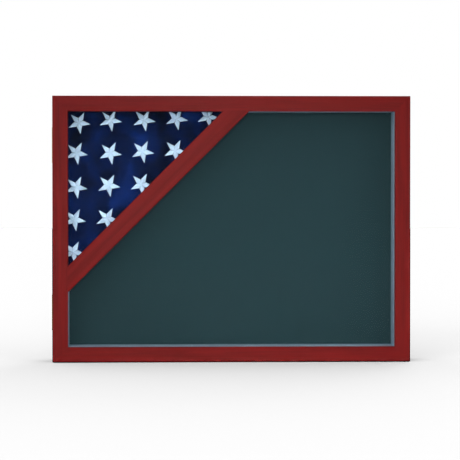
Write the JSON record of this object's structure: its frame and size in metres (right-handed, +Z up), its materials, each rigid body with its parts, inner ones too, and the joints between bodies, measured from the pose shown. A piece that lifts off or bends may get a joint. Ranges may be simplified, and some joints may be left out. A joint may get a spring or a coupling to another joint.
{
  "type": "folded flag display case",
  "caption": "Wooden wall or table display case with a glazed hinged door, a triangular compartment holding a folded flag and a felt-lined display compartment beside it.",
  "frame": {"origin": "centre of the resting face under the box, midway through the overall depth without the hangers", "axes": "+Z up, front of the case towards -Y, +X to the viewer's right"},
  "size_m": [0.5092, 0.0755, 0.378],
  "materials": {
    "wood": "satin cherry lacquer",
    "bead_wood": "satin cherry lacquer",
    "plain_wood": "unfinished",
    "liner": "matte paper-covered board",
    "felt": "felt",
    "fibreboard": "raw fibreboard",
    "hardboard": "tempered hardboard",
    "foam_board": "white foam board",
    "flag_cloth": "woven cloth with embroidered stars",
    "glass": "clear polished",
    "brass": "satin brass",
    "zinc": "zinc plated",
    "nickel": "nickel plated",
    "rubber": "matte",
    "clear_rubber": "translucent"
  },
  "bodies": {
    "case": {"box_left": "wood", "box_top": "wood", "box_right": "wood", "box_bottom": "wood", "divider_wall": "wood", "divider_dowels": "plain_wood", "box_corner_splines": "wood", "display_liner_top": "liner", "display_liner_right": "liner", "display_liner_bottom": "liner", "display_liner_left": "liner", "display_liner_diagonal": "liner", "display_felt": "felt", "display_board": "fibreboard", "folded_flag": "flag_cloth", "flag_backer": "foam_board", "back_panel": "hardboard", "back_panel_screws": "zinc", "hinge_leaf_box_lower": "brass", "hinge_leaf_box_upper": "brass", "hinge_pin_lower": "brass", "hinge_pin_upper": "brass", "hinge_screws_box": "brass", "door_magnets": "nickel", "door_bumpers": "clear_rubber", "hanger_strap_left": "zinc", "hanger_strap_right": "zinc", "hanger_screws": "zinc", "wall_bumpers": "rubber"},
    "door": {"door_stile_left": "wood", "door_stile_right": "wood", "door_rail_top": "wood", "door_rail_bottom": "wood", "door_rail_diagonal": "wood", "door_corner_splines": "wood", "flag_pane": "glass", "display_pane": "glass", "flag_bead_top": "bead_wood", "flag_bead_diagonal": "bead_wood", "flag_bead_left": "bead_wood", "display_bead_top": "liner", "display_bead_right": "liner", "display_bead_bottom": "liner", "display_bead_left": "liner", "display_bead_diagonal": "liner", "bead_brads": "zinc", "hinge_leaf_door_lower": "brass", "hinge_leaf_door_upper": "brass", "hinge_screws_door": "brass", "strike_plates": "zinc", "strike_screws": "zinc"},
    "ring_left": {"hanger_ring_left": "zinc"},
    "ring_right": {"hanger_ring_right": "zinc"}
  },
  "joints": [
    {"name": "door_hinge", "type": "hinge", "parent": "case", "child": "door", "pos_m": [-0.253, -0.0165, 0.189], "axis": [0, 0, -1], "range_deg": [0, 120]},
    {"name": "ring_left_pivot", "type": "hinge", "parent": "case", "child": "ring_left", "pos_m": [-0.243, 0.0376, 0.304], "axis": [1, 0, 0], "range_deg": [0, 175]},
    {"name": "ring_right_pivot", "type": "hinge", "parent": "case", "child": "ring_right", "pos_m": [0.243, 0.0376, 0.304], "axis": [1, 0, 0], "range_deg": [0, 175]}
  ]
}
